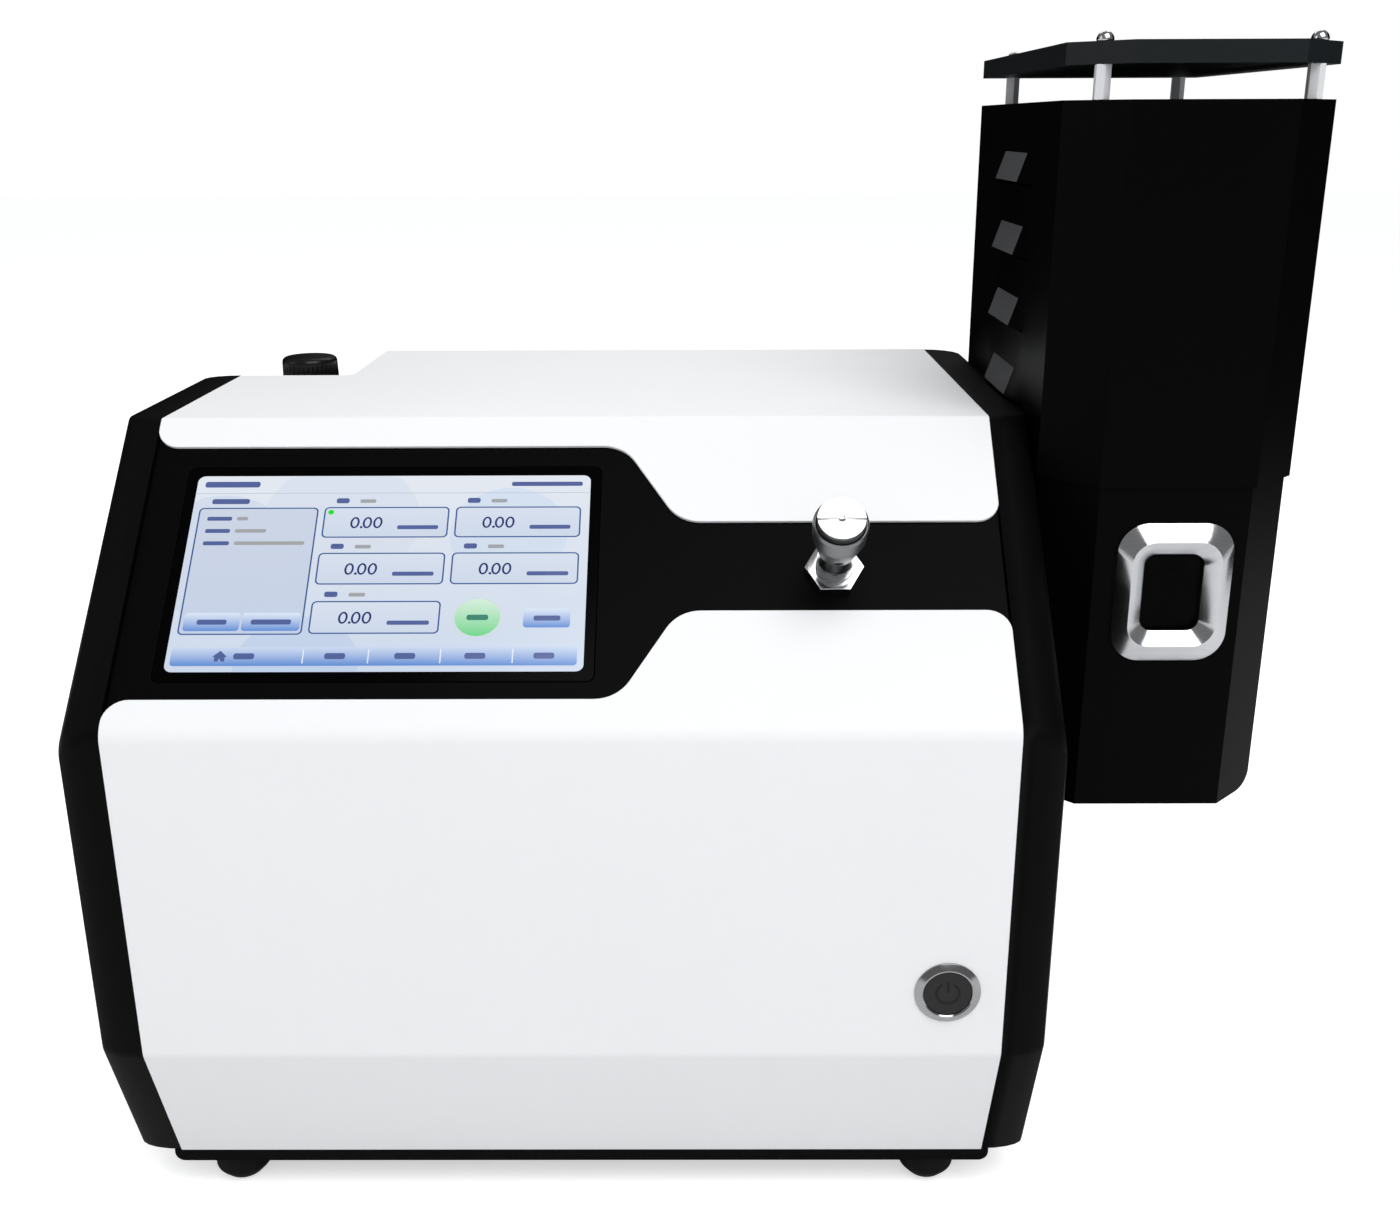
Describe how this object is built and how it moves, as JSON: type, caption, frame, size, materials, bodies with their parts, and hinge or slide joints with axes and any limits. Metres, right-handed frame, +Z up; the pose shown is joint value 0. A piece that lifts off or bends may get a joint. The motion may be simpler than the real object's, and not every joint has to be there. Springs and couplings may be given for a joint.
{
  "type": "flame photometer",
  "caption": "Bench flame photometer: white and black case with sloping touch console, fuel valve knob, push button, pressure knob, and a black burner tower with capped chimney.",
  "frame": {"origin": "on the bench surface, under the middle of the whole instrument with its burner tower and hose tails", "axes": "+X to the operator's right (towards the burner tower), +Y from front to back, +Z up"},
  "size_m": [0.4716, 0.306, 0.4544],
  "materials": {
    "white_powder_coat": "satin powder coat",
    "black_moulding": "fine-textured moulded plastic",
    "black_powder_coat": "satin powder coat",
    "black_console": "smooth satin paint",
    "foot_rubber": "matte rubber",
    "steel_screw": "plated steel",
    "touch_glass": "glossy lit touch screen",
    "module_metal": "bare sheet",
    "circuit_board": "solder-masked board",
    "polished_steel": "polished",
    "brass_body": "machined brass",
    "dark_chrome": "dark polished metal",
    "black_plastic": "moulded plastic",
    "cast_zinc": "die-cast zinc",
    "spring_steel": "spring wire",
    "hose_yellow": "flexible plastic tube",
    "hose_blue": "flexible plastic tube",
    "supply_sheet": "perforated sheet",
    "lens_glass": "polished optical glass",
    "filter_glass": "coloured glass",
    "clear_glass": "heat-resistant glass",
    "bezel_metal": "brushed and polished",
    "chamber_plastic": "machined white polymer",
    "electrode_white": "glazed insulator with a metal tip"
  },
  "bodies": {
    "case": {"upper_cover": "white_powder_coat", "lower_cover": "white_powder_coat", "console_panel": "black_console", "left_side_panel": "black_moulding", "right_side_panel": "black_moulding", "base_plate": "black_powder_coat", "rear_panel": "black_powder_coat", "regulator_deck": "black_powder_coat", "feet": "foot_rubber", "foot_screws": "steel_screw", "case_screws": "steel_screw", "display_glass": "touch_glass", "display_module": "module_metal", "display_bracket": "module_metal", "display_board": "circuit_board", "fuel_valve_nut": "polished_steel", "fuel_valve_body": "brass_body", "power_button_housing": "dark_chrome", "power_button_nut": "steel_screw", "power_button_spring": "spring_steel", "power_switch_block": "black_plastic", "regulator_body": "cast_zinc", "regulator_bonnet": "black_plastic", "regulator_nut": "black_plastic", "regulator_spring": "spring_steel", "air_inlet_fitting": "brass_body", "fuel_inlet_fitting": "brass_body", "fuel_solenoid_valve": "brass_body", "fuel_tube": "hose_yellow", "air_tube": "hose_blue", "mains_inlet": "black_plastic", "power_supply": "supply_sheet", "main_board": "circuit_board", "optics_housing": "black_powder_coat", "collimating_lens": "lens_glass", "colour_filters": "filter_glass", "photodetectors": "steel_screw", "amplifier_board": "circuit_board", "tower_bracket": "black_powder_coat", "burner_housing": "black_powder_coat", "window_bezel": "bezel_metal", "window_glass": "clear_glass", "burner_head": "brass_body", "mixing_chamber": "chamber_plastic", "nebulizer": "chamber_plastic", "igniter_electrode": "electrode_white", "flame_glass": "clear_glass", "chimney_shell": "black_powder_coat", "cap_plate": "black_powder_coat", "cap_spacers": "bezel_metal", "cap_screws": "polished_steel"},
    "fuel_needle": {"fuel_valve_needle": "steel_screw"},
    "fuel_knob": {"fuel_valve_knob": "polished_steel", "knob_grub_screw": "steel_screw"},
    "power_button": {"power_button_cap": "dark_chrome"},
    "adjusting_screw": {"regulator_screw": "steel_screw"},
    "pressure_knob": {"regulator_knob": "black_plastic"},
    "spring_seat": {"regulator_spring_seat": "steel_screw"},
    "fuse_drawer": {"fuse_drawer": "black_plastic"}
  },
  "joints": [
    {"name": "fuel_needle_slide", "type": "slide", "parent": "case", "child": "fuel_needle", "axis": [0, -0.6959, 0.7181], "range_m": [0, 0.002]},
    {"name": "fuel_knob_turn", "type": "hinge", "parent": "fuel_needle", "child": "fuel_knob", "pos_m": [0.04845, -0.1031, 0.26302], "axis": [0, -0.6959, 0.7181], "range_deg": [0, 1440]},
    {"name": "power_button_press", "type": "slide", "parent": "case", "child": "power_button", "axis": [0, 1, 0], "range_m": [0, 0.0025], "stiffness_N_per_m": 500, "springref_m": -0.004, "deforming": ["power_button_spring"]},
    {"name": "adjusting_screw_turn", "type": "hinge", "parent": "case", "child": "adjusting_screw", "pos_m": [-0.19025, 0.074, 0.282], "axis": [0, 0, -1], "range_deg": [0, 1080]},
    {"name": "spring_seat_travel", "type": "slide", "parent": "case", "child": "spring_seat", "axis": [0, 0, -1], "range_m": [0, 0.003], "deforming": ["regulator_spring"]},
    {"name": "pressure_knob_lift", "type": "slide", "parent": "adjusting_screw", "child": "pressure_knob", "axis": [0, 0, 1], "range_m": [0, 0.003]},
    {"name": "fuse_drawer_pull", "type": "slide", "parent": "case", "child": "fuse_drawer", "axis": [0, 1, 0], "range_m": [0, 0.018]}
  ],
  "couplings": [
    {"joint": "fuel_knob_turn", "follows": "fuel_needle_slide", "rad_per_m": 12566},
    {"joint": "adjusting_screw_turn", "follows": "spring_seat_travel", "rad_per_m": 6283.2}
  ]
}
